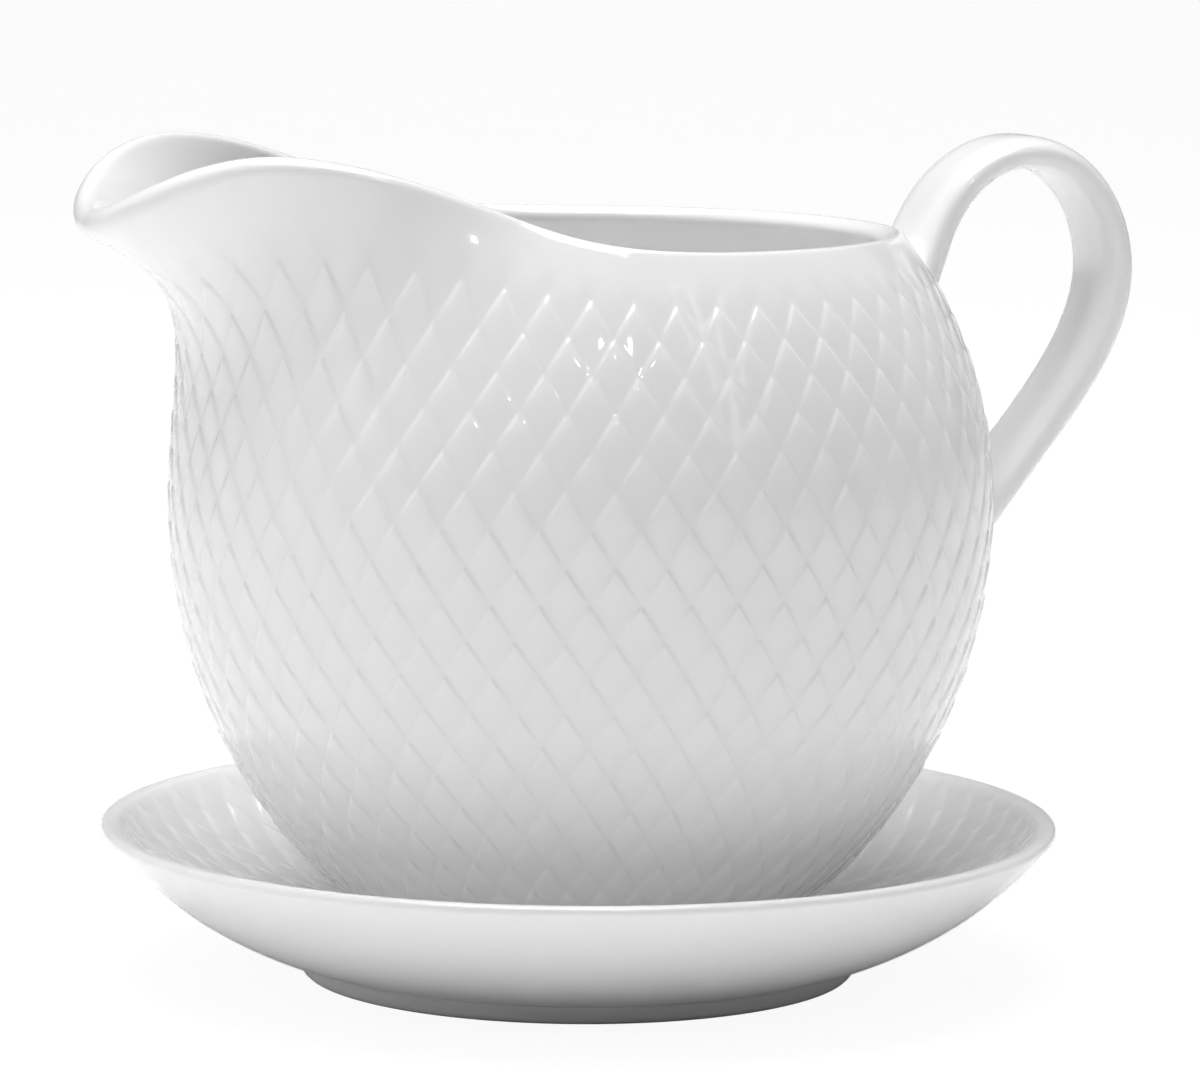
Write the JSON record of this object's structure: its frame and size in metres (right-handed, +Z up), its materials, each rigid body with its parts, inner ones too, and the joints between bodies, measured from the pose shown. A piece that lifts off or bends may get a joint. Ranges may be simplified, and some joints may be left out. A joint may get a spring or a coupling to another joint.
{
  "type": "gravy boat",
  "caption": "Round porcelain gravy jug with a broad pouring spout and a strap handle, standing loose in a round saucer.",
  "frame": {"origin": "on the standing plane under the saucer's foot, at the middle of the overall length and width", "axes": "+Z up along the jug's own axis, +X from the spout towards the handle, +Y across the jug"},
  "size_m": [0.1603, 0.14, 0.122],
  "materials": {
    "saucer": "gloss",
    "jug_body": "gloss",
    "jug_handle": "gloss"
  },
  "bodies": {
    "saucer": {"saucer": "saucer"},
    "jug": {"jug_body": "jug_body", "jug_handle": "jug_handle"}
  },
  "joints": [
    {"name": "jug_lift", "type": "slide", "parent": "saucer", "child": "jug", "axis": [0, 0, 1], "range_m": [0, 0.06]}
  ]
}
